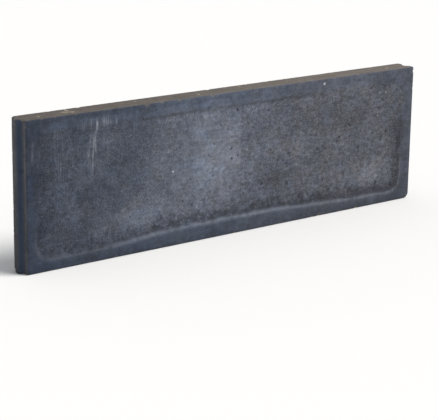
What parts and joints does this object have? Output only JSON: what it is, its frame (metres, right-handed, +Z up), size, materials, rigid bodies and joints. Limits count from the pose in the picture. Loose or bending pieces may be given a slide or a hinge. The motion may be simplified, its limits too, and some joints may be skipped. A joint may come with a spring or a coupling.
{
  "type": "concrete edging slab",
  "caption": "Long thin concrete edging slab that stands on edge, with a half-round tongue at one end, a matching groove at the other and a sunken field in its front face.",
  "frame": {"origin": "on the ground plane under the slab, midway between its two end planes (tongue left out) and midway between its front and back faces", "axes": "+X along the slab from the tongue end to the groove end, -Y out of the front face, +Z up"},
  "size_m": [1.01, 0.05, 0.3],
  "materials": {
    "backing_mix": "rough pressed concrete, warm grey, matt",
    "pigmented_mix": "anthracite pressed concrete, mottled, matt",
    "pebble_stone": "worn sandy pebble, matt"
  },
  "bodies": {
    "root": {"backing_concrete": "backing_mix", "face_mix": "pigmented_mix", "top_pebbles": "pebble_stone"}
  },
  "joints": []
}
